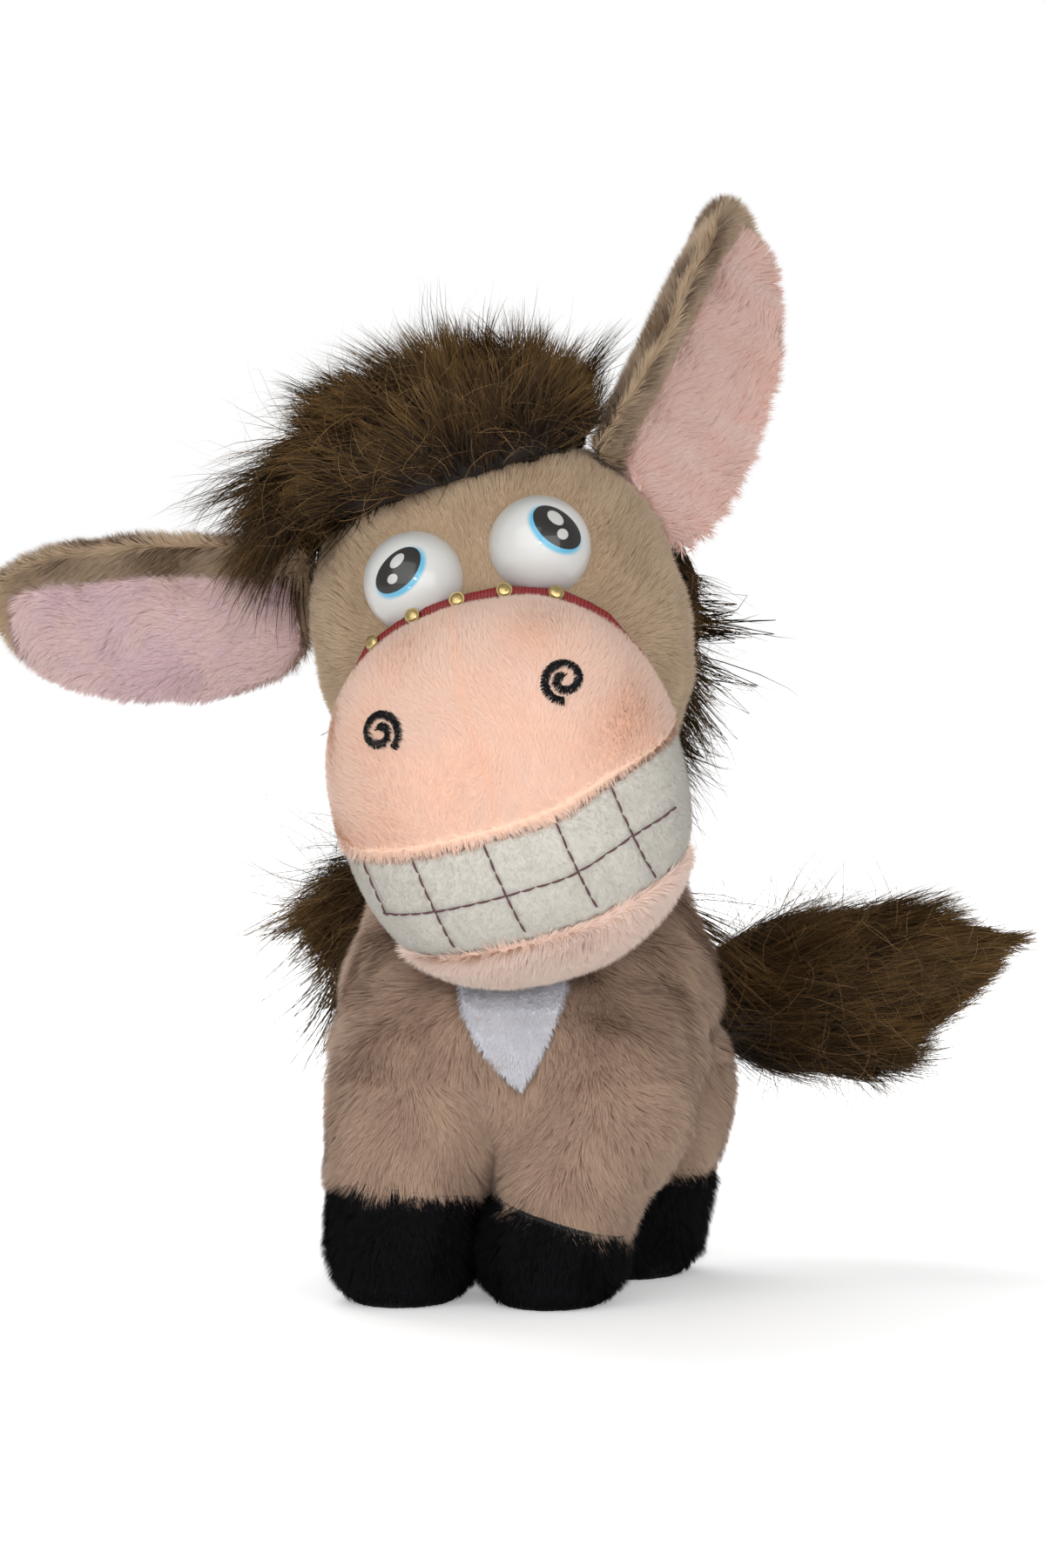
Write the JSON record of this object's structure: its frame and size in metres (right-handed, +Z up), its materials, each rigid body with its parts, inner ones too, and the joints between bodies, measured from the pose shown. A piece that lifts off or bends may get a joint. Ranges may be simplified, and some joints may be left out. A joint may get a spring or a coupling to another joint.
{
  "type": "plush donkey toy",
  "caption": "Small standing plush donkey with a tilting head, folding ears, glossy dome eyes, studded noseband, toothy grin and a long swinging tail tuft.",
  "frame": {"origin": "on the floor under the centre of the whole toy's box", "axes": "+Z up, -Y the way the donkey looks, +X the donkey's left side"},
  "size_m": [0.1396, 0.1018, 0.1496],
  "materials": {
    "tan_plush": "short pile plush",
    "black_plush": "short pile plush",
    "white_plush": "short pile plush",
    "pink_plush": "short pile plush",
    "cream_plush": "short pile plush",
    "lip_plush": "short pile plush",
    "ear_pink": "short pile plush",
    "brown_hair": "long loose pile",
    "noseband": "woven tape",
    "gold_studs": "polished",
    "black_thread": "satin stitch",
    "brown_thread": "stitched thread",
    "eye_plastic": "glossy, printed pupil",
    "washer_plastic": "moulded",
    "wadding": "loose polyester fill"
  },
  "bodies": {
    "torso": {"torso_cover": "tan_plush", "torso_stuffing": "wadding", "chest_patch": "white_plush", "neck_mane": "brown_hair", "front_left_leg": "tan_plush", "front_left_hoof": "black_plush", "front_left_leg_stuffing": "wadding", "front_right_leg": "tan_plush", "front_right_hoof": "black_plush", "front_right_leg_stuffing": "wadding", "hind_left_leg": "tan_plush", "hind_left_hoof": "black_plush", "hind_left_leg_stuffing": "wadding", "hind_right_leg": "tan_plush", "hind_right_hoof": "black_plush", "hind_right_leg_stuffing": "wadding"},
    "neck": {"neck_cover": "tan_plush"},
    "head": {"head_cover": "tan_plush", "head_stuffing": "wadding", "eye_left": "eye_plastic", "eye_left_washer": "washer_plastic", "eye_right": "eye_plastic", "eye_right_washer": "washer_plastic", "muzzle_cover": "pink_plush", "teeth_panel": "cream_plush", "lower_lip": "lip_plush", "muzzle_stuffing": "wadding", "noseband": "noseband", "stud_1": "gold_studs", "stud_2": "gold_studs", "stud_3": "gold_studs", "stud_4": "gold_studs", "stud_5": "gold_studs", "nostril_left": "black_thread", "nostril_right": "black_thread", "tooth_line_upper_1": "brown_thread", "tooth_line_upper_2": "brown_thread", "tooth_line_upper_3": "brown_thread", "tooth_line_upper_4": "brown_thread", "tooth_line_upper_5": "brown_thread", "tooth_line_lower_2": "brown_thread", "tooth_line_lower_3": "brown_thread", "tooth_line_lower_4": "brown_thread", "tooth_line_lower_5": "brown_thread", "bite_line": "brown_thread", "forelock": "brown_hair", "mane_crest": "brown_hair"},
    "ear_left": {"ear_left_outer": "tan_plush", "ear_left_inner": "ear_pink"},
    "ear_right": {"ear_right_outer": "tan_plush", "ear_right_inner": "ear_pink"},
    "tail_stub": {"tail_stub": "brown_hair"},
    "tail": {"tail_tuft": "brown_hair"}
  },
  "joints": [
    {"name": "head_turn", "type": "hinge", "parent": "torso", "child": "neck", "pos_m": [0.00384, 0.00053, 0.0645], "axis": [0, 0, 1], "range_deg": [-20, 20]},
    {"name": "head_tilt", "type": "hinge", "parent": "neck", "child": "head", "pos_m": [0.00384, 0.00053, 0.0645], "axis": [0, 1, 0], "range_deg": [-8, 16]},
    {"name": "ear_left_flap", "type": "hinge", "parent": "head", "child": "ear_left", "pos_m": [0.01624, -0.00521, 0.11125], "axis": [-0.1981, -0.8176, 0.5407], "range_deg": [-25, 35]},
    {"name": "ear_right_flap", "type": "hinge", "parent": "head", "child": "ear_right", "pos_m": [-0.02386, -0.00691, 0.09517], "axis": [-0.0531, -0.4067, 0.912], "range_deg": [-25, 35]},
    {"name": "tail_swing", "type": "hinge", "parent": "torso", "child": "tail_stub", "pos_m": [0.00884, 0.03493, 0.036], "axis": [0, 0, 1], "range_deg": [-15, 55]},
    {"name": "tail_lift", "type": "hinge", "parent": "tail_stub", "child": "tail", "pos_m": [0.01684, 0.04003, 0.036], "axis": [0, 1, 0], "range_deg": [-30, 25]}
  ]
}
